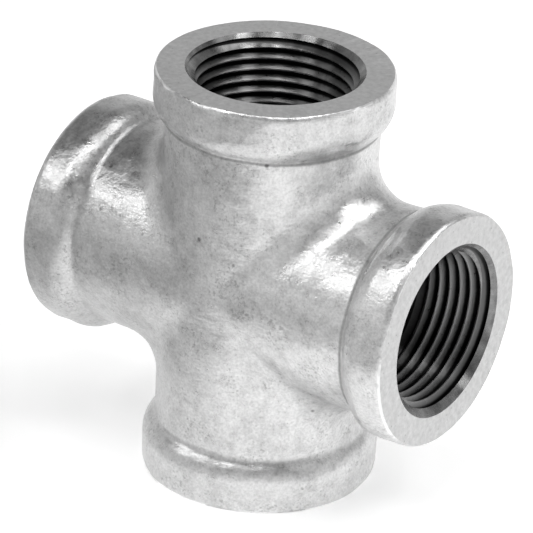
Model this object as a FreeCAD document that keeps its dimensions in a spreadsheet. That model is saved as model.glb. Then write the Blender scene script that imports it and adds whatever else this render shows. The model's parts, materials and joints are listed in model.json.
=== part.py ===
import FreeCAD, Part
import math
import os
import Sketcher

# Pipe cross for 3/4 inch pipe: one banded casting of malleable iron, class 150, whose four
# ports are tapped 3/4-14 NPT. Millimetres. The origin is where the axes of the two runs cross,
# the ports open along +Z, -Z, +X and -X, and the thinnest side lies along Y.

# alias, value, what it is
SIZES = [
    ("center_to_end", 33.3, "centre of the fitting to each end face"),
    ("band_diameter", 37.0, "outside of the band at each end"),
    ("band_width", 6.2, "end face to the inner edge of the band's round wall"),
    ("shoulder_angle", 45, "slope from the band down to the tube, degrees from the axis"),
    ("shoulder_round", 1.2, "radius between the band's wall and its slope"),
    ("rim_round", 0.9, "radius around the outer edge of each end face"),
    ("run_diameter", 33.0, "outside of the upright tube"),
    ("branch_diameter", 32.8, "outside of the level tube, cast a little thinner"),
    ("crotch_round", 6.0, "radius in the corners between the tubes"),
    ("wall", 3.05, "thickness of both tubes around the cored passage"),
    ("passage_round", 1.5, "radius on the inner corners where the passages meet"),
    ("mouth_diameter", 27.3, "countersink at the end face, 45 degrees"),
    ("major_diameter", 26.57, "thread roots at the end face"),
    ("thread_pitch", 1.8143, "14 threads to the inch"),
    ("thread_taper", 0.0625, "change of diameter along the axis, 1 in 16"),
    ("thread_depth", 1.385, "crest to root, square to the axis"),
    ("thread_flat", 0.07, "flat at the bottom of each groove"),
    ("flank_angle", 30, "half of the angle between the thread's flanks, degrees"),
    ("crest_overcut", 0.06, "how far the thread cut reaches past the crests"),
    ("land_diameter", 23.0, "plain bore behind the thread"),
    ("land_depth", 15.1, "end face to the inner end of the plain bore"),
    ("overcut", 1.0, "how far a cut or a band reaches past the surface that it ends on"),
]

# sizes that follow from the others, as expressions
MOUTH = "Sizes.mouth_diameter / 2"
LAND = "Sizes.land_diameter / 2"
PASSAGE = "(Sizes.branch_diameter / 2 - Sizes.wall)"
BAND = "Sizes.band_diameter / 2"
SLOPE = "(Sizes.thread_taper / 2)"
CREST = "(Sizes.major_diameter / 2 - Sizes.thread_depth)"
THREAD_LENGTH = f"({CREST} - {LAND}) / {SLOPE}"
SINK_DEPTH = f"({MOUTH} - {CREST}) / (1 - {SLOPE})"
LOWEST_TURN = f"({THREAD_LENGTH} - Sizes.thread_pitch / 2)"
ROOT = f"(Sizes.major_diameter / 2 - {LOWEST_TURN} * {SLOPE})"
CUT_DEPTH = "(Sizes.thread_depth + Sizes.crest_overcut)"
CUT_HALF_WIDTH = f"(Sizes.thread_flat / 2 + {CUT_DEPTH} * tan(Sizes.flank_angle * 1 deg))"

doc = FreeCAD.newDocument("pipe_cross")
sheet = doc.addObject("Spreadsheet::Sheet", "Sizes")
for row, (alias, value, meaning) in enumerate(SIZES, start=1):
    sheet.set(f"A{row}", meaning)
    sheet.set(f"B{row}", str(value))
    sheet.setAlias(f"B{row}", alias)
doc.recompute()


def height(depth):
    """Height above the centre of a place this deep in the top port, as an expression."""
    return f"Sizes.center_to_end - ({depth})"


def origin_part(body, role):
    """The body's own origin plane or axis with this role."""
    return next(part for part in body.Origin.OriginFeatures if part.Role == role)


def new_sketch(body, name, role):
    sketch = body.newObject("Sketcher::SketchObject", name)
    sketch.AttachmentSupport = [(origin_part(body, role), "")]
    sketch.MapMode = "FlatFace"
    return sketch


def circle_sketch(body, name, role, diameter):
    """A circle about the origin, with its diameter bound to an expression."""
    sketch = new_sketch(body, name, role)
    radius = sketch.evalExpression(diameter) / 2
    sketch.addGeometry(Part.Circle(FreeCAD.Vector(), FreeCAD.Vector(0, 0, 1), radius))
    sketch.addConstraint(Sketcher.Constraint("Coincident", 0, 3, -1, 1))
    size = sketch.addConstraint(Sketcher.Constraint("Diameter", 0, 2 * radius))
    sketch.setExpression(f"Constraints[{size}]", diameter)
    return sketch


def outline_sketch(body, name, corners):
    """A closed outline on the XZ plane through corners given as pairs of expressions."""
    sketch = new_sketch(body, name, "XZ_Plane")
    places = [[float(sketch.evalExpression(way)) for way in corner] for corner in corners]
    for number, place in enumerate(places):
        after = places[(number + 1) % len(places)]
        line = Part.LineSegment(FreeCAD.Vector(*place, 0), FreeCAD.Vector(*after, 0))
        sketch.addGeometry(line)
    for number, corner in enumerate(corners):
        before = (number - 1) % len(corners)
        sketch.addConstraint(Sketcher.Constraint("Coincident", before, 2, number, 1))
        for kind, way, place in zip(("DistanceX", "DistanceY"), corner, places[number]):
            size = sketch.addConstraint(Sketcher.Constraint(kind, -1, 1, number, 1, place))
            sketch.setExpression(f"Constraints[{size}]", way)
    return sketch


def edges_where(feature, wanted):
    """The feature with the names of its edges that pass a test."""
    edges = enumerate(feature.Shape.Edges, start=1)
    return (feature, [f"Edge{number}" for number, edge in edges if wanted(edge)])


def rounded(body, name, radius, wanted):
    """A fillet on the edges of the newest shape that pass a test."""
    base = body.Tip
    doc.recompute()
    fillet = body.newObject("PartDesign::Fillet", name)
    fillet.Base = edges_where(base, wanted)
    fillet.setExpression("Radius", radius)
    doc.recompute()
    return fillet


def at_each_port(body, name, features):
    """Repeat features made on the top port at all four, about the Y axis."""
    pattern = body.newObject("PartDesign::PolarPattern", name)
    pattern.Originals = features
    pattern.Axis = (origin_part(body, "Y_Axis"), [""])
    pattern.Occurrences = 4
    pattern.Angle = 360
    body.Tip = pattern
    return pattern


def tube(body, name, role, diameter):
    """A round bar along the axis square to this plane, from end face to end face."""
    pad = body.newObject("PartDesign::Pad", name)
    pad.Profile = circle_sketch(body, name + "_outside", role, diameter)
    pad.SideType = "Symmetric"
    pad.setExpression("Length", "2 * Sizes.center_to_end")
    return pad


def passage(body, name, role, diameter):
    """The cored hole along one tube, up to the slopes behind its two ports."""
    inside = f"{diameter} - 2 * Sizes.wall"
    pocket = body.newObject("PartDesign::Pocket", name)
    pocket.Profile = circle_sketch(body, name + "_inside", role, inside)
    pocket.SideType = "Symmetric"
    end = height(f"Sizes.land_depth + ({inside}) / 2 - {LAND}")
    pocket.setExpression("Length", f"2 * ({end})")
    return pocket


def band(body):
    """The thick ring around the top port, with the slope that runs down to the tube."""
    inner_edge = "Sizes.band_width"
    foot = "Sizes.branch_diameter / 2 - Sizes.overcut"
    foot_depth = f"{inner_edge} + ({BAND} - ({foot})) / tan(Sizes.shoulder_angle * 1 deg)"
    corners = [
        ("0", height("0")),
        (BAND, height("0")),
        (BAND, height(inner_edge)),
        (foot, height(foot_depth)),
        ("0", height(foot_depth)),
    ]
    sketch = outline_sketch(body, "band_outline", corners)
    ring = body.newObject("PartDesign::Revolution", "band")
    ring.Profile = sketch
    ring.ReferenceAxis = (sketch, ["V_Axis"])
    ring.Angle = 360
    return ring


def port_bore(body):
    """The bored top port: countersink, tapered crests, plain land and the slope behind it."""
    slope_end = f"Sizes.land_depth + {PASSAGE} - {LAND}"
    corners = [
        ("0", height("-Sizes.overcut")),
        (MOUTH, height("-Sizes.overcut")),
        (MOUTH, height("0")),
        (f"{MOUTH} - {SINK_DEPTH}", height(SINK_DEPTH)),
        (LAND, height(THREAD_LENGTH)),
        (LAND, height("Sizes.land_depth")),
        (PASSAGE, height(slope_end)),
        (PASSAGE, height(f"{slope_end} + Sizes.overcut")),
        ("0", height(f"{slope_end} + Sizes.overcut")),
    ]
    sketch = outline_sketch(body, "port_outline", corners)
    bore = body.newObject("PartDesign::Groove", "port_bore")
    bore.Profile = sketch
    bore.ReferenceAxis = (sketch, ["V_Axis"])
    bore.Angle = 360
    return bore


def thread_path(body):
    """The helix that the thread follows, one edge to a turn, brought into the body."""
    helix = doc.addObject("Part::Helix", "thread_helix")
    helix.LocalCoord = "Right-handed"
    helix.SegmentLength = 1
    helix.setExpression("Pitch", "Sizes.thread_pitch")
    helix.setExpression("Height", f"{LOWEST_TURN} + Sizes.thread_pitch / 2")
    helix.setExpression("Radius", ROOT)
    helix.setExpression("Angle", f"atan({SLOPE})")
    helix.setExpression("Placement.Base.z", height(LOWEST_TURN))
    path = body.newObject("PartDesign::SubShapeBinder", "thread_path")
    path.Support = [(helix, ("",))]
    doc.recompute()
    return path


def port_thread(body):
    """The right-hand tapered V thread, cut upward from its lowest turn past the end face."""
    crest = f"{ROOT} - {CUT_DEPTH}"
    corners = [
        (ROOT, height(f"{LOWEST_TURN} + Sizes.thread_flat / 2")),
        (ROOT, height(f"{LOWEST_TURN} - Sizes.thread_flat / 2")),
        (crest, height(f"{LOWEST_TURN} - {CUT_HALF_WIDTH}")),
        (crest, height(f"{LOWEST_TURN} + {CUT_HALF_WIDTH}")),
    ]
    path = thread_path(body)
    thread = body.newObject("PartDesign::SubtractivePipe", "port_thread")
    thread.Profile = outline_sketch(body, "thread_section", corners)
    thread.Spine = path
    thread.Mode = "Frenet"
    return thread


def curved(edge):
    """True for the edges where two tubes, or two passages, cross."""
    return not isinstance(edge.Curve, (Part.Line, Part.Circle))


def inner_crossing(edge):
    """True for the edges where the two passages cross, inside both tubes."""
    reach = (sheet.run_diameter + sheet.branch_diameter) / 4
    inside = all(max(abs(point.x), abs(point.z)) < reach for point in edge.discretize(9))
    return curved(edge) and inside


def band_edge(depth):
    """A test for the round edges of the bands' outer walls at this depth from the faces."""
    radius = sheet.band_diameter / 2
    distance = sheet.center_to_end - depth

    def wanted(edge):
        round_edge = isinstance(edge.Curve, Part.Circle)
        return (
            round_edge
            and math.isclose(edge.Curve.Radius, radius, abs_tol=1e-4)
            and math.isclose(edge.Curve.Center.Length, distance, abs_tol=1e-4)
        )

    return wanted


def make_cross():
    body = doc.addObject("PartDesign::Body", "CrossCasting")
    body.Label = "cross_casting"

    tube(body, "run", "XY_Plane", "Sizes.run_diameter")
    tube(body, "branch", "YZ_Plane", "Sizes.branch_diameter")
    rounded(body, "crotches", "Sizes.crotch_round", curved)
    at_each_port(body, "bands", [band(body)])
    rounded(body, "rims", "Sizes.rim_round", band_edge(0))
    rounded(body, "shoulders", "Sizes.shoulder_round", band_edge(sheet.band_width))

    passage(body, "run_passage", "XY_Plane", "Sizes.run_diameter")
    passage(body, "branch_passage", "YZ_Plane", "Sizes.branch_diameter")
    at_each_port(body, "ports", [port_bore(body), port_thread(body)])
    rounded(body, "passage_corners", "Sizes.passage_round", inner_crossing)
    doc.recompute()
    return body


def check_states():
    """Stop if any object of the document failed to compute."""
    for thing in doc.Objects:
        if {"Invalid", "Error"} & set(thing.State):
            raise RuntimeError(f"{thing.Name} failed: {thing.getStatusString()}")


def check_volumes(body):
    """Stop unless material was added up to the bands, and every later feature took some away."""
    features = [thing for thing in body.Group if thing.isDerivedFrom("PartDesign::Feature")]
    solid_steps = [thing for thing in features if thing.Shape.Solids]
    volumes = {thing.Name: thing.Shape.Volume for thing in solid_steps}
    names = list(volumes)
    growing = names[: names.index("bands") + 1]
    for before, after in zip(names, names[1:]):
        change = volumes[after] - volumes[before]
        if (change > 0) != (after in growing):
            raise RuntimeError(f"{after} changed the volume by {change:.1f} mm3")
    one_port = volumes["branch_passage"] - volumes["port_thread"]
    other_ports = volumes["port_thread"] - volumes["ports"]
    if not math.isclose(other_ports, 3 * one_port, rel_tol=0.02):
        raise RuntimeError(f"the ports differ: {one_port:.1f} and {other_ports / 3:.1f} mm3")


def write_step(body):
    """Check one finished sub-part and write it to a file named by its label."""
    if body.Shape.isNull() or not body.Shape.isValid() or len(body.Shape.Solids) != 1:
        raise RuntimeError(f"{body.Label} isn't one valid solid")
    body.Shape.exportStep(f"parts/{body.Label}.step")
    print(body.Label, f"{body.Shape.Volume:.1f} mm3", body.Shape.BoundBox)


cross = make_cross()
check_states()
check_volumes(cross)
os.makedirs("parts", exist_ok=True)
write_step(cross)
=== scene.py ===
import json
import math

import bmesh
import bpy
import numpy as np
from mathutils import Matrix, Vector


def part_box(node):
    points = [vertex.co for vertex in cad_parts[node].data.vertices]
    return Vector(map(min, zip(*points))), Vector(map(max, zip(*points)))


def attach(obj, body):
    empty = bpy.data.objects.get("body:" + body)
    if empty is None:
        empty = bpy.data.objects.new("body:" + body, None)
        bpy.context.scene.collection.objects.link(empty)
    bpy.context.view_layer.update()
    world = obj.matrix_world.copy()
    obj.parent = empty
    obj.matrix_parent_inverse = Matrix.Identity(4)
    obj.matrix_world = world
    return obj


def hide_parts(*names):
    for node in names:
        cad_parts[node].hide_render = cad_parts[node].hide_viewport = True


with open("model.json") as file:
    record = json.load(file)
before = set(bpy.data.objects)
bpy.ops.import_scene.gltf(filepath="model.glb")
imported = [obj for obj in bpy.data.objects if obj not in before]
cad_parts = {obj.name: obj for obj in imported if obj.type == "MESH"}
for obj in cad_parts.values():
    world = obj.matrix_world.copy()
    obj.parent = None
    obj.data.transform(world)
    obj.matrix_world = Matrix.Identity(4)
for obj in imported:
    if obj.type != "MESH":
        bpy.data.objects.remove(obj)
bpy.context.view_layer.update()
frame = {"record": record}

# The cross fitting is one casting with four equal ports. Lengths are worked out in millimetres,
# in the frame's own axes, and turned into metres when a mesh is made.
MM = 0.001
SAME_PLACE = 1e-7  # metres
NODE = "cross_casting"
low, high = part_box(NODE)
mounts = {mount["name"]: mount for mount in frame["record"]["mounts"]}

REACH = high.z / MM  # centre to each end face
BAND = high.y / MM  # outside radius of the bands
LAND = mounts["top_port"]["dims"]["r_mm"]  # radius of the plain bore behind each thread

# the casting
RUN, BRANCH = 16.5, 16.4  # outside radii of the upright and the level tube
CROTCH = 6.0  # radius in the corners between the tubes
BAND_WIDTH = 6.2
SHOULDER = 2  # height of the slope between a band and its tube
SHOULDER_ROUND, RIM_ROUND = 1.2, 1.15
FOOT_ROUND = 0.35  # where a band's slope meets the tube
FACING = 0.25  # metal that facing takes off each cast end
WALL = 3.05
VOXELS = (0.9, 0.5)  # the skin is meshed coarsely and then finely
SMOOTHINGS = 3  # of the skin's mesh at each voxel size
WAVES = [(0.10, 7, 1), (0.045, 3, 2), (0.018, 1.5, 3)]  # height, width and seed of the unevenness
SHRINK = 0.14  # how far the uneven skin lies inside the even one on average
TOP_FLATS = [(-16, 10), (-38, 8), (78, 9)]  # azimuth and half angle of flats on the top band
END_MARGIN = 0.3  # the waves don't move the skin along an arm this near its end
BOX_MARGIN = 0.003  # kept free inside the CAD box

# the ports
MOUTH = 13.65  # radius of the countersink at the end face
ROOT = 13.285  # radius of the thread's roots at the end face
PITCH = 25.4 / 14
TAPER = 1 / 32  # change of radius along the axis
THREAD_DEPTH = 1.385
ROOT_FLAT = 0.07
CREST_HALF = 0.02  # half of the mesh's crest strip, in turns
CREST = ROOT - THREAD_DEPTH  # radius of the thread's crests at the end face
LAND_DEPTH = 15.1
PASSAGE = BRANCH - WALL  # radius of the cored passage that each port opens into
LEAD_END = 13.6  # depth where the tap's fading lead ends
LEAD_SLOPE = 0.55  # how fast the lead's radius falls
TAP_TOP, TAP_BOTTOM = 0.12, 14.2  # depths between which the tap is modelled

# steps around a full circle
BLANK_STEPS, TAP_STEPS, PASSAGE_STEPS, PORT_STEPS = 96, 128, 128, 160

UP, DOWN, RIGHT, LEFT = "up", "down", "right", "left"


def port_turn(side):
    """The turn that carries the top port to this side."""
    quarter = {UP: 0, RIGHT: 1, DOWN: 2, LEFT: 3}[side]
    return Matrix.Rotation(quarter * math.pi / 2, 4, "Y")


def toward(azimuth, elevation):
    """The direction at these angles in degrees: azimuth 0 is along -Y and 90 is along +X."""
    around, above = math.radians(azimuth), math.radians(elevation)
    flat = math.cos(above)
    return Vector((math.sin(around) * flat, -math.cos(around) * flat, math.sin(above)))


# ---------------------------------------------------------------- mesh helpers


def mesh_object(name, points, faces):
    """An object whose mesh has these points, given in millimetres."""
    mesh = bpy.data.meshes.new(name)
    mesh.from_pydata([tuple(point) for point in np.asarray(points) * MM], [], faces)
    thing = bpy.data.objects.new(name, mesh)
    bpy.context.scene.collection.objects.link(thing)
    return thing


def bake_modifiers(thing):
    """Apply every modifier of an object."""
    shown = thing.evaluated_get(bpy.context.evaluated_depsgraph_get())
    result = bpy.data.meshes.new_from_object(shown)
    old = thing.data
    thing.modifiers.clear()
    thing.data = result
    bpy.data.meshes.remove(old)


def points_of(thing):
    """The object's points in millimetres."""
    flat = np.empty(3 * len(thing.data.vertices))
    thing.data.vertices.foreach_get("co", flat)
    return flat.reshape(-1, 3) / MM


def set_points(thing, points):
    """Move the object's points to these places in millimetres."""
    thing.data.vertices.foreach_set("co", (points * MM).ravel())
    thing.data.update()


def edges_of(thing):
    """The object's edges, as pairs of point numbers."""
    flat = np.empty(2 * len(thing.data.edges), int)
    thing.data.edges.foreach_get("vertices", flat)
    return flat.reshape(-1, 2)


def remesh(thing, voxel):
    """Rebuild the object's mesh from even cells this many millimetres wide."""
    change = thing.modifiers.new("voxels", "REMESH")
    change.mode = "VOXEL"
    change.voxel_size = voxel * MM
    bake_modifiers(thing)


def combine(thing, other, operation):
    """Join the other object to this one or cut it out of this one, and remove the other."""
    change = thing.modifiers.new("combine", "BOOLEAN")
    change.operation = operation
    change.solver = "MANIFOLD"
    change.object = other
    bake_modifiers(thing)
    bpy.data.objects.remove(other)


def lathe(name, outline, steps):
    """A closed solid turned about the Z axis from (radius, height) pairs that start and end on it."""
    inner = outline[1:-1]
    angles = np.arange(steps) * 2 * math.pi / steps
    points = [
        (radius * math.cos(angle), radius * math.sin(angle), height)
        for radius, height in inner
        for angle in angles
    ]
    points += [(0, 0, outline[0][1]), (0, 0, outline[-1][1])]
    first, last = len(points) - 2, len(points) - 1
    faces = []
    for step in range(steps):
        after = (step + 1) % steps
        faces.append((first, after, step))
        for ring in range(len(inner) - 1):
            below, above = ring * steps, (ring + 1) * steps
            faces.append((below + step, below + after, above + after, above + step))
        top = (len(inner) - 1) * steps
        faces.append((last, top + step, top + after))
    return mesh_object(name, points, faces)


def bar(name, radius, half_length, steps):
    """A closed round bar along the Z axis, with the origin at its middle."""
    outline = [(0, -half_length), (radius, -half_length), (radius, half_length), (0, half_length)]
    return lathe(name, outline, steps)


# ---------------------------------------------------------------- the cast skin


def round_union(a, b, radius):
    """Distance to the union of two forms with a fillet of this radius between them."""
    corner = np.hypot(np.maximum(radius - a, 0), np.maximum(radius - b, 0))
    return np.maximum(radius, np.minimum(a, b)) - corner


def crotch_union(a, b, alike, radius, least=1e-4):
    """The same fillet where the two forms' normals have this cosine between them."""
    u, v = radius - a, radius - b
    across = (u * u + v * v - 2 * u * v * alike) / np.maximum(1 - alike * alike, least)
    between = (u > v * alike) & (v > u * alike) & (u > 0) & (v > 0)
    return np.where(between, radius - np.sqrt(np.abs(across)), np.minimum(a, b))


def round_both(a, b, radius):
    """Distance to the common part of two forms with its edge rounded."""
    corner = np.hypot(np.maximum(radius + a, 0), np.maximum(radius + b, 0))
    return np.minimum(-radius, np.maximum(a, b)) + corner


def band_distance(radial, along):
    """Distance to the band of the arm whose axis these are measured from and along."""
    wall = radial - BAND
    end = along - (REACH + FACING)
    slope = (wall + REACH - BAND_WIDTH - along) / math.sqrt(2)
    return round_both(round_both(wall, end, RIM_ROUND), slope, SHOULDER_ROUND)


def cast_distance(points):
    """Distance from the casting's outer skin, before it is machined."""
    x, y, z = np.abs(points).T
    from_z, from_x = np.hypot(x, y), np.hypot(y, z)
    run = np.maximum(from_z - RUN, z - REACH)
    branch = np.maximum(from_x - BRANCH, x - REACH)
    alike = y * y / np.maximum(from_z * from_x, 1)
    tubes = crotch_union(run, branch, alike, CROTCH)
    bands = np.minimum(band_distance(from_z, z), band_distance(from_x, x))
    return round_union(tubes, bands, FOOT_ROUND)


def slope_of(distance, points, step=0.01):
    """The distance's gradient, by central differences."""
    sides = np.eye(3) * step
    return np.stack(
        [(distance(points + side) - distance(points - side)) / (2 * step) for side in sides], 1
    )


def settle(points, distance, rounds=6, least=0.2):
    """Move points onto the surface where the distance is nothing.

    The squared gradient counts as at least this much, so that no point is thrown far away.
    """
    for _ in range(rounds):
        gradient = slope_of(distance, points)
        size = np.maximum((gradient**2).sum(1), least)
        points = points - gradient * (distance(points) / size)[:, None]
    return points


def relax(points, edges, share):
    """Move each point part of the way to the middle of its neighbours."""
    total = np.zeros_like(points)
    count = np.zeros(len(points))
    for here, there in ((0, 1), (1, 0)):
        np.add.at(total, edges[:, here], points[edges[:, there]])
        np.add.at(count, edges[:, here], 1)
    return points + share * (total / count[:, None] - points)


def wander(points, size, seed, waves=14):
    """A smooth random height, mostly from -1 to 1, whose bumps are this many millimetres wide."""
    rng = np.random.default_rng(seed)
    directions = rng.normal(size=(waves, 3))
    directions /= np.linalg.norm(directions, axis=1)[:, None]
    lengths = 2 * size * rng.uniform(0.7, 1.4, waves)
    phases = rng.uniform(0, 2 * math.pi, waves)
    angles = points @ (directions * 2 * math.pi / lengths[:, None]).T + phases
    return np.sin(angles).sum(1) / math.sqrt(waves)


def roughen(points):
    """Give the even casting the waves, low spots and flats of a sand mould."""
    normals = slope_of(cast_distance, points)
    normals /= np.linalg.norm(normals, axis=1)[:, None]
    lift = sum(height * wander(points, size, seed) for height, size, seed in WAVES) - SHRINK
    moves = normals * lift[:, None]
    for way in (0, 2):
        moves[np.abs(points[:, way]) > REACH - END_MARGIN, way] = 0
    points = points + moves
    below_band = points[:, 2] < REACH - BAND_WIDTH - SHOULDER
    for azimuth, half_angle in TOP_FLATS:
        across = np.array(toward(azimuth, 0))
        limit = BAND * math.cos(math.radians(half_angle)) - SHRINK
        over = points @ across - limit
        over[below_band] = 0
        points = points - np.maximum(over, 0)[:, None] * across
    half_depth = BAND - BOX_MARGIN
    points[:, 1] = np.clip(points[:, 1], -half_depth, half_depth)
    return points


def cast_blank():
    """The cast outside as one closed mesh, its bores still solid."""
    blank = bar("cross_fitting", BAND, REACH, BLANK_STEPS)
    branch = bar("branch", BAND, REACH, BLANK_STEPS)
    branch.data.transform(port_turn(RIGHT))
    combine(blank, branch, "UNION")
    for voxel in VOXELS:
        remesh(blank, voxel)
        points, edges = points_of(blank), edges_of(blank)
        for _ in range(SMOOTHINGS):
            points = settle(relax(points, edges, 0.5), cast_distance)
        set_points(blank, points)
    set_points(blank, roughen(points))
    return blank


# ---------------------------------------------------------------- the machined ports


def port_lathe():
    """What the facing, countersinking and boring tools take out of the top port."""
    sink = (MOUTH - CREST) / (1 - TAPER)  # depth where the countersink meets the crests
    thread_end = (CREST - LAND) / TAPER
    slope_end = LAND_DEPTH + PASSAGE - LAND
    outside, above = BAND + 2, -3  # clear of the band and of the end that is faced off
    outline = [
        (0, above),
        (outside, above),
        (outside, 0),
        (MOUTH, 0),
        (MOUTH - sink, sink),
        (LAND, thread_end),
        (LAND, LAND_DEPTH),
        (PASSAGE, slope_end),
        (PASSAGE, slope_end + 1),
        (0, slope_end + 1),
    ]
    heights = [(radius, REACH - depth) for radius, depth in reversed(outline)]
    return lathe("port_lathe", heights, PORT_STEPS)


def thread_radius(phase, depth):
    """Radius of the tap's cut, from the place in its turn (0 to 1) and the depth in the port."""
    half_flat = ROOT_FLAT / 2 / PITCH
    from_root = np.abs((phase + 0.5) % 1 - 0.5)
    flank = np.maximum(from_root - half_flat, 0) * PITCH / math.tan(math.radians(30))
    full = ROOT - TAPER * depth - flank
    lead = LAND + LEAD_SLOPE * (LEAD_END - depth)
    return np.minimum(full, lead)


def screw_points(rows):
    """Columns of points up the screw, one column for each step around it.

    A row is a place along the profile, counted in turns. Rows past either end of the tap are
    held at that end.
    """
    points = []
    for step in range(TAP_STEPS):
        angle = 2 * math.pi * step / TAP_STEPS
        depth = TAP_BOTTOM - (rows - 1 + angle / (2 * math.pi)) * PITCH
        held = np.clip(depth, TAP_TOP, TAP_BOTTOM)
        phase = rows + (depth - held) / PITCH
        for radius, place in zip(thread_radius(phase, held), held):
            points.append((radius * math.cos(angle), radius * math.sin(angle), REACH - place))
    return points


def screw_faces(row_count, rows_per_turn):
    """Faces between neighbouring columns. The last column meets the first one turn further up."""
    faces = []
    top_row = row_count - 1
    for step in range(TAP_STEPS):
        start = step * row_count
        after, rise = (start + row_count, 0) if step < TAP_STEPS - 1 else (0, rows_per_turn)
        for row in range(top_row):
            near = after + min(row + rise, top_row)
            far = after + min(row + 1 + rise, top_row)
            faces.append((start + row, near, far, start + row + 1))
    return faces


def mend(thing):
    """Triangulate a closed mesh and drop its doubled points and empty faces."""
    shape = bmesh.new()
    shape.from_mesh(thing.data)
    bmesh.ops.triangulate(shape, faces=shape.faces)
    bmesh.ops.remove_doubles(shape, verts=shape.verts, dist=SAME_PLACE)
    bmesh.ops.dissolve_degenerate(shape, edges=shape.edges, dist=SAME_PLACE)
    bmesh.ops.recalc_face_normals(shape, faces=shape.faces)
    shape.to_mesh(thing.data)
    shape.free()


def tap():
    """The space that the tapping cuts: a tapered right-hand screw about the Z axis."""
    flat = ROOT_FLAT / PITCH
    marks = [-flat / 2, flat / 2, 0.5 - CREST_HALF, 0.5 + CREST_HALF]
    turns = math.ceil((TAP_BOTTOM - TAP_TOP) / PITCH) + 2
    rows = np.array([turn + mark for turn in range(-1, turns) for mark in marks])
    count = len(rows)
    points = screw_points(rows)
    faces = screw_faces(count, len(marks))
    bottom, top = len(points), len(points) + 1
    points += [(0, 0, REACH - TAP_BOTTOM), (0, 0, REACH - TAP_TOP)]
    for step in range(TAP_STEPS):
        here = step * count
        after = (step + 1) % TAP_STEPS * count
        faces.append((bottom, after, here))
        faces.append((top, here + count - 1, after + count - 1))
    screw = mesh_object("tap", points, faces)
    mend(screw)
    return screw


def passage_bar(radius, side):
    """The cored passage through two opposite arms, as far as the slopes behind their ports."""
    half_length = REACH - LAND_DEPTH - (radius - LAND)
    passage = bar("passage", radius, half_length, PASSAGE_STEPS)
    passage.data.transform(port_turn(side))
    return passage


def make_fitting():
    """The whole casting, cored, faced, countersunk and tapped."""
    fitting = cast_blank()
    combine(fitting, passage_bar(RUN - WALL, UP), "DIFFERENCE")
    combine(fitting, passage_bar(BRANCH - WALL, RIGHT), "DIFFERENCE")
    for side in (UP, RIGHT, DOWN, LEFT):
        for cutter in (port_lathe(), tap()):
            cutter.data.transform(port_turn(side))
            combine(fitting, cutter, "DIFFERENCE")
    return fitting


# ---------------------------------------------------------------- materials

SKIN, FACE, THREAD, CORE = range(4)
BUMP_STRENGTH = 0.20
SHARP = 32  # edges that turn by more degrees than this stay sharp
FACED = 0.01  # a face no deeper than this lies on the end face
EDGE = 0.1  # a face this near the edge of a finish still has it
MOUTH_EDGE = 0.5  # the same for the end faces, at the mouth
CORE_EDGE = 0.3  # and for the passages


def finish_of(points):
    """Which finish each face has, from the places of the face centres in millimetres."""
    x, y, z = points.T
    upright = np.abs(z) > np.abs(x)
    from_z, from_x = np.hypot(x, y), np.hypot(y, z)
    radial = np.where(upright, from_z, from_x)
    depth = REACH - np.where(upright, np.abs(z), np.abs(x))
    in_port = depth < LAND_DEPTH + EDGE
    in_passage = np.minimum(from_z, from_x) < RUN - WALL + CORE_EDGE
    finish = np.full(len(points), SKIN)
    finish[in_port & (radial < MOUTH + EDGE)] = THREAD
    finish[(depth < FACED) & (radial > MOUTH - MOUTH_EDGE)] = FACE
    finish[~in_port & in_passage] = CORE
    return finish


def set_stops(ramp, stops):
    """Give a colour ramp these (place, grey level) stops."""
    marks = ramp.color_ramp.elements
    while len(marks) < len(stops):
        marks.new(0.5)
    for mark, (place, level) in zip(marks, stops):
        mark.position = place
        mark.color = (level, level, level, 1)


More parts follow.
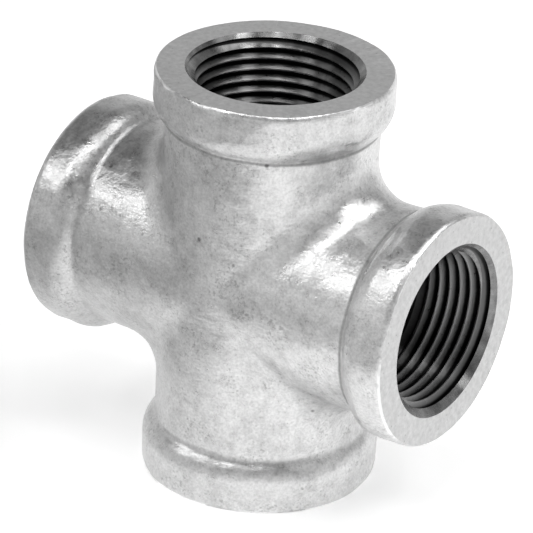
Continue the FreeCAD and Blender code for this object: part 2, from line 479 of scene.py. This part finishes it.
class Nodes:
    """Builds one material's nodes with short calls."""

    def __init__(self, name):
        self.material = bpy.data.materials.new(name)
        self.material.use_nodes = True
        self.tree = self.material.node_tree
        self.shader = self.tree.nodes["Principled BSDF"]
        self.place = self.add("ShaderNodeTexCoord").outputs["Object"]

    def add(self, kind, **settings):
        """A new node of this kind."""
        node = self.tree.nodes.new(kind)
        for key, value in settings.items():
            setattr(node, key, value)
        return node

    def feed(self, socket, value):
        """Link a socket into another, or set it to a plain value."""
        if isinstance(value, bpy.types.NodeSocket):
            self.tree.links.new(value, socket)
        else:
            socket.default_value = value

    def noise(self, size, detail=2.0, roughness=0.5, stretch=None):
        """Noise whose features are about this many millimetres across, from 0 to 1."""
        node = self.add("ShaderNodeTexNoise")
        place = self.place
        if stretch:
            scaled = self.add("ShaderNodeVectorMath", operation="MULTIPLY")
            self.feed(scaled.inputs[0], place)
            scaled.inputs[1].default_value = stretch
            place = scaled.outputs[0]
        self.feed(node.inputs["Vector"], place)
        node.inputs["Scale"].default_value = 1 / (size * MM)
        node.inputs["Detail"].default_value = detail
        node.inputs["Roughness"].default_value = roughness
        return node.outputs["Fac"]

    def along(self, x, y, z, rise):
        """0.5 at the origin, rising by this much per millimetre in a direction."""
        node = self.add("ShaderNodeVectorMath", operation="DOT_PRODUCT")
        self.feed(node.inputs[0], self.place)
        node.inputs[1].default_value = (x, y, z)
        return self.plus(self.times(node.outputs["Value"], rise / MM), 0.5)

    def ramp(self, value, *stops, smooth=False):
        """A number or colour that follows the value through (place, level) stops."""
        node = self.add("ShaderNodeValToRGB")
        node.color_ramp.interpolation = "EASE" if smooth else "LINEAR"
        set_stops(node, stops)
        self.feed(node.inputs["Fac"], value)
        return node.outputs["Color"]

    def math(self, operation, a, b=0.0):
        """One step of arithmetic."""
        node = self.add("ShaderNodeMath", operation=operation)
        self.feed(node.inputs[0], a)
        self.feed(node.inputs[1], b)
        return node.outputs[0]

    def plus(self, a, b):
        return self.math("ADD", a, b)

    def less(self, a, b):
        return self.math("SUBTRACT", a, b)

    def times(self, a, b):
        return self.math("MULTIPLY", a, b)

    def lines(self, way, size):
        """Noise along one measure in millimetres, the same everywhere across it."""
        node = self.add("ShaderNodeTexNoise", noise_dimensions="1D")
        self.feed(node.inputs["W"], way)
        node.inputs["Scale"].default_value = 1 / size
        node.inputs["Detail"].default_value = 2.0
        return node.outputs["Fac"]

    def blend(self, share, a, b):
        """Value a where the share is 0, and value b where it is 1."""
        node = self.add("ShaderNodeMix")
        self.feed(node.inputs["Factor"], share)
        self.feed(node.inputs["A"], a)
        self.feed(node.inputs["B"], b)
        return node.outputs["Result"]

    def dots(self, apart, radius):
        """Small round marks of about this radius, one to a cell this many millimetres wide."""
        node = self.add("ShaderNodeTexVoronoi")
        bent = self.add("ShaderNodeVectorMath", operation="MULTIPLY_ADD")
        wobble = self.add("ShaderNodeTexNoise")
        wobble.inputs["Scale"].default_value = 1 / (radius * 2 * MM)
        self.feed(wobble.inputs["Vector"], self.place)
        self.feed(bent.inputs[0], wobble.outputs["Color"])
        bent.inputs[1].default_value = [radius * 0.9 * MM] * 3
        self.feed(bent.inputs[2], self.place)
        self.feed(node.inputs["Vector"], bent.outputs[0])
        node.inputs["Scale"].default_value = 1 / (apart * MM)
        edge = radius / apart
        return self.ramp(node.outputs["Distance"], (edge * 0.4, 1), (edge, 0))

    def bump(self, height, depth, normal=None):
        """Bumps whose full height is this many millimetres."""
        node = self.add("ShaderNodeBump")
        node.inputs["Strength"].default_value = BUMP_STRENGTH
        node.inputs["Distance"].default_value = depth * MM
        self.feed(node.inputs["Height"], height)
        if normal is not None:
            self.feed(node.inputs["Normal"], normal)
        return node.outputs["Normal"]

    def finish(self, tone, metallic, rough, normal):
        """Feed the shader, and give the finished material."""
        self.feed(self.shader.inputs["Base Color"], tone)
        self.feed(self.shader.inputs["Metallic"], metallic)
        self.feed(self.shader.inputs["Roughness"], rough)
        self.feed(self.shader.inputs["Normal"], normal)
        return self.material


def port_place(n):
    """Depth from the nearest end face and distance from that port's axis, in millimetres."""
    split = n.add("ShaderNodeSeparateXYZ")
    n.feed(split.inputs[0], n.place)
    x, y, z = (n.times(way, 1 / MM) for way in split.outputs)
    x, z = n.math("ABSOLUTE", x), n.math("ABSOLUTE", z)
    depth = n.less(REACH, n.math("MAXIMUM", x, z))
    side = n.math("MINIMUM", x, z)
    radial = n.math("SQRT", n.plus(n.times(y, y), n.times(side, side)))
    return depth, radial


def port_axis(n):
    """The direction of the nearest port's axis."""
    split = n.add("ShaderNodeSeparateXYZ")
    n.feed(split.inputs[0], n.place)
    level, upright = (n.math("ABSOLUTE", split.outputs[way]) for way in "XZ")
    axis = n.add("ShaderNodeCombineXYZ")
    n.feed(axis.inputs["X"], n.math("GREATER_THAN", level, upright))
    n.feed(axis.inputs["Z"], n.math("GREATER_THAN", upright, level))
    return axis.outputs[0]


def crease_shade_beside_bands(n, depth, waver):
    """Painted shade: a dark line where each band's shoulder meets its tube, fainter on the -X and -Z
    side.
    """
    foot = BAND_WIDTH + BAND - RUN + 0.1
    line = n.plus(foot, n.times(waver, 0.25))
    crease_groove_and_shade = n.ramp(n.math("ABSOLUTE", n.less(depth, line)), (0.0, 1), (0.16, 0.9), (0.42, 0))
    return n.times(crease_groove_and_shade, n.ramp(n.along(1, 0, 1, 0.1), (0.4, 0.15), (0.6, 1)))


def zinc_skin():
    """Hot-dip zinc over cast iron: bright dull silver, mottled, with pits and painted shade in the
    creases.
    """
    n = Nodes("cast_zinc")
    depth, _ = port_place(n)
    cloud = n.noise(9, 3, 0.6)
    mottle = n.noise(1.7, 4, 0.7)
    grain = n.noise(0.4, 2, 0.6)

    spots = n.dots(6.0, 0.42)
    pits = n.times(n.dots(1.3, 0.12), n.ramp(cloud, (0.42, 0.15), (0.58, 1)))
    # painted shade: a dark line at the foot of each band's shoulder, which is also a groove in the
    # bump
    crease_groove_and_shade = crease_shade_beside_bands(n, depth, mottle)
    specks = n.ramp(n.noise(0.5, 2, 0.6), (0.54, 0), (0.66, 1))
    specks = n.times(specks, n.ramp(n.noise(6, 3, 0.6), (0.50, 0.1), (0.60, 1)))

    # mottled tone, darker at the marks, painted shade at the creases and towards the left arm, and a
    # painted highlight on the rims
    tone = n.plus(n.times(cloud, 0.45), n.times(mottle, 0.55))
    tone = n.ramp(tone, (0.34, 0.56), (0.5, 0.75), (0.64, 0.86))
    tone = n.times(tone, n.ramp(grain, (0.3, 0.80), (0.65, 1.0)))
    for mark, strength in ((spots, 0.6), (pits, 0.5), (crease_groove_and_shade, 0.40), (specks, 0.30)):
        tone = n.times(tone, n.less(1.0, n.times(mark, strength)))
    # painted shade: the tone darkens towards the left arm's side
    painted_left_shade = n.plus(n.along(*toward(-62, -10), 0.025), n.times(cloud, 0.3))
    tone = n.times(tone, n.ramp(painted_left_shade, (0.80, 1.0), (1.0, 0.86)))
    # painted highlight: the tone is raised to a bright grey in patches near each end
    painted_rim_highlight = n.times(n.ramp(depth, (0.3, 1), (0.75, 0)), n.ramp(cloud, (0.4, 0), (0.5, 1)))
    tone = n.math("MAXIMUM", tone, n.times(painted_rim_highlight, 0.86))

    rough = n.ramp(mottle, (0.35, 0.27), (0.65, 0.38))
    rough = n.plus(rough, n.times(crease_groove_and_shade, 0.3))

    # the zinc's orange peel, with level ripples in it
    ripple = n.noise(0.9, 3, 0.6, stretch=(0.55, 0.55, 1.5))
    peel = n.plus(n.noise(1.3, 4, 0.65), n.times(ripple, 0.8))
    peel = n.plus(peel, n.times(grain, 0.4))
    normal = n.bump(peel, 0.34)
    normal = n.bump(n.less(1.0, n.math("MAXIMUM", crease_groove_and_shade, spots)), 0.05, normal)
    return n.finish(tone, 0.95, rough, normal)


def faced_end():
    """The machined ring around each mouth, dulled to a smooth grey with a few small marks."""
    n = Nodes("faced_end")
    tone = n.ramp(n.noise(0.9, 4, 0.65), (0.3, 0.52), (0.7, 0.68))
    tone = n.times(tone, n.less(1.0, n.times(n.dots(1.6, 0.16), 0.4)))
    rough = n.ramp(n.noise(2.5, 2), (0.3, 0.42), (0.7, 0.52))
    return n.finish(tone, 0.85, rough, n.bump(n.noise(0.35, 2), 0.02))


def cut_thread():
    """Iron cut by the tap and the countersink, with fine tool marks round the port and painted shade
    in the grooves.
    """
    n = Nodes("cut_thread")
    depth, radial = port_place(n)

    # grey on the crests, with painted shade making the grooves black, darker at the first turn, and
    # painted shade past the last turns
    crest = n.less(CREST, n.times(depth, TAPER))
    groove = n.plus(n.less(radial, crest), n.times(n.noise(0.6, 2), 0.10))
    tone = n.ramp(groove, (0.05, 0.38), (0.7, 0.30), (0.9, 0.09), (1.0, 0.02))
    # painted shade: the bore darkens past the last turns
    bore_shade_depth = n.times(depth, 0.05)
    tone = n.times(tone, n.ramp(bore_shade_depth, (0.09, 0.35), (0.15, 1), (0.50, 1), (0.59, 0.08)))
    rough = n.ramp(n.noise(0.8, 3), (0.3, 0.27), (0.7, 0.35))

    # the countersink's 45 degree cone
    cone = n.math("ABSOLUTE", n.less(n.plus(radial, depth), MOUTH))
    cone = n.ramp(cone, (0.06, 1), (0.12, 0))
    cone_tone = n.ramp(n.noise(2.2, 4, 0.6), (0.35, 0.15), (0.65, 0.30))
    cone_rough = n.ramp(n.noise(1.5, 3), (0.3, 0.22), (0.7, 0.32))

    across = n.plus(depth, n.times(radial, 0.6))
    n.feed(n.shader.inputs["Anisotropic"], 0.95)
    n.feed(n.shader.inputs["Tangent"], port_axis(n))
    return n.finish(
        n.blend(cone, tone, cone_tone),
        1.0,
        n.blend(cone, rough, cone_rough),
        n.bump(n.lines(across, 0.14), 0.035),
    )


def shaded_cored_wall():
    """The rough inside of the casting, zinc coated, with painted shade that makes it dark."""
    n = Nodes("shaded_cored_wall")
    # painted shade: a near-black tone for the inside of the passage
    tone = n.ramp(n.noise(1.5, 4, 0.6), (0.3, 0.05), (0.7, 0.12))
    return n.finish(tone, 0.3, 0.8, n.bump(n.noise(0.8, 3), 0.08))


def paint(fitting):
    """Give each face of the fitting its finish."""
    fitting.data.materials.clear()
    for make in (zinc_skin, faced_end, cut_thread, shaded_cored_wall):
        fitting.data.materials.append(make())
    centres = np.empty(3 * len(fitting.data.polygons))
    fitting.data.polygons.foreach_get("center", centres)
    finish = finish_of(centres.reshape(-1, 3) / MM)
    fitting.data.polygons.foreach_set("material_index", finish)
    fitting.data.polygons.foreach_set("use_smooth", np.ones(len(finish), bool))
    fitting.data.set_sharp_from_angle(angle=math.radians(SHARP))
    fitting.data.update()


# ---------------------------------------------------------------- camera, lights and floor

AZIMUTH, ELEVATION, ROLL = 34.40, 26.46, 2.66  # degrees
CAMERA_DISTANCE = 0.6234  # metres
LENS, SENSOR = 274.5, 36  # millimetres

# grey level of the studio's walls at each height, from level to straight up
WALL_TONES = [(0.0, 0.88), (0.2, 0.78), (0.45, 0.45), (0.7, 0.18), (1.0, 0.12)]

LAMP_DISTANCE = 1.0  # metres
# name, azimuth and elevation in degrees, width and height in metres, watts
LAMPS = [
    ("right", 92, 55, 0.26, 0.22, 1.6),
    ("left", -44, 35, 0.24, 0.24, 0.80),
    ("front", -21, 55, 0.26, 0.18, 1.2),
    ("strip", 34, 63, 0.02, 0.40, 0.35),
    ("over", 34, 76, 0.50, 0.22, 1.5),
    ("back", 150, 64, 0.50, 0.50, 1.8),
]

FLOOR_SIZE = 6  # metres
# painted light: how strongly the floor glows
FLOOR_GLOW = 0.42
DARK_SIDE = -50  # azimuth of the side where painted shade darkens the floor
SHADE_RISE = 0.004  # per millimetre towards that side


def make_camera():
    """A long lens that looks at the middle of the fitting."""
    back = toward(AZIMUTH, ELEVATION)
    data = bpy.data.cameras.new("camera")
    data.lens, data.sensor_width = LENS, SENSOR
    camera = bpy.data.objects.new("camera", data)
    turn = back.to_track_quat("Z", "Y").to_matrix().to_4x4()
    turn = turn @ Matrix.Rotation(math.radians(ROLL), 4, "Z")
    camera.matrix_world = Matrix.Translation(back * CAMERA_DISTANCE) @ turn
    bpy.context.scene.collection.objects.link(camera)
    bpy.context.scene.camera = camera


def softbox(name, azimuth, elevation, width, height, power):
    """A flat lamp in this direction from the fitting, facing it."""
    away = toward(azimuth, elevation)
    data = bpy.data.lights.new(name, "AREA")
    data.shape = "RECTANGLE"
    data.size, data.size_y = width, height
    data.energy = power
    lamp = bpy.data.objects.new(name, data)
    lamp.location = away * LAMP_DISTANCE
    lamp.rotation_mode = "QUATERNION"
    lamp.rotation_quaternion = away.to_track_quat("Z", "Y")
    bpy.context.scene.collection.objects.link(lamp)


def make_world():
    """Pale studio walls that darken towards the ceiling."""
    world = bpy.data.worlds.new("studio")
    world.use_nodes = True
    tree = world.node_tree
    place = tree.nodes.new("ShaderNodeTexCoord")
    split = tree.nodes.new("ShaderNodeSeparateXYZ")
    walls = tree.nodes.new("ShaderNodeValToRGB")
    tree.links.new(place.outputs["Generated"], split.inputs[0])
    tree.links.new(split.outputs["Z"], walls.inputs["Fac"])
    tree.links.new(walls.outputs["Color"], tree.nodes["Background"].inputs["Color"])
    set_stops(walls, WALL_TONES)
    bpy.context.scene.world = world


def make_floor():
    """A pale floor with painted light: it glows a little, as paper lit from all round does, and
    painted shade darkens it towards one side.
    """
    bpy.ops.mesh.primitive_plane_add(size=FLOOR_SIZE, location=(0, 0, low.z))
    floor = bpy.context.object
    floor.name = "floor"
    n = Nodes("floor")
    aside = n.along(*toward(DARK_SIDE, 0), SHADE_RISE)
    # painted shade: the floor's colour and glow fall towards DARK_SIDE
    floor_painted_shade = n.ramp(aside, (0.62, 0.94), (0.81, 0.38), smooth=True)
    n.feed(n.shader.inputs["Base Color"], floor_painted_shade)
    n.feed(n.shader.inputs["Roughness"], 0.9)
    n.feed(n.shader.inputs["Emission Color"], floor_painted_shade)
    n.feed(n.shader.inputs["Emission Strength"], FLOOR_GLOW)
    floor.data.materials.append(n.material)


def make_studio():
    make_world()
    for lamp in LAMPS:
        softbox(*lamp)
    make_floor()
    bpy.context.scene.view_settings.view_transform = "Standard"


# ---------------------------------------------------------------- the scene

fitting = make_fitting()
paint(fitting)
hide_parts(NODE)
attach(fitting, "root")
make_camera()
make_studio()
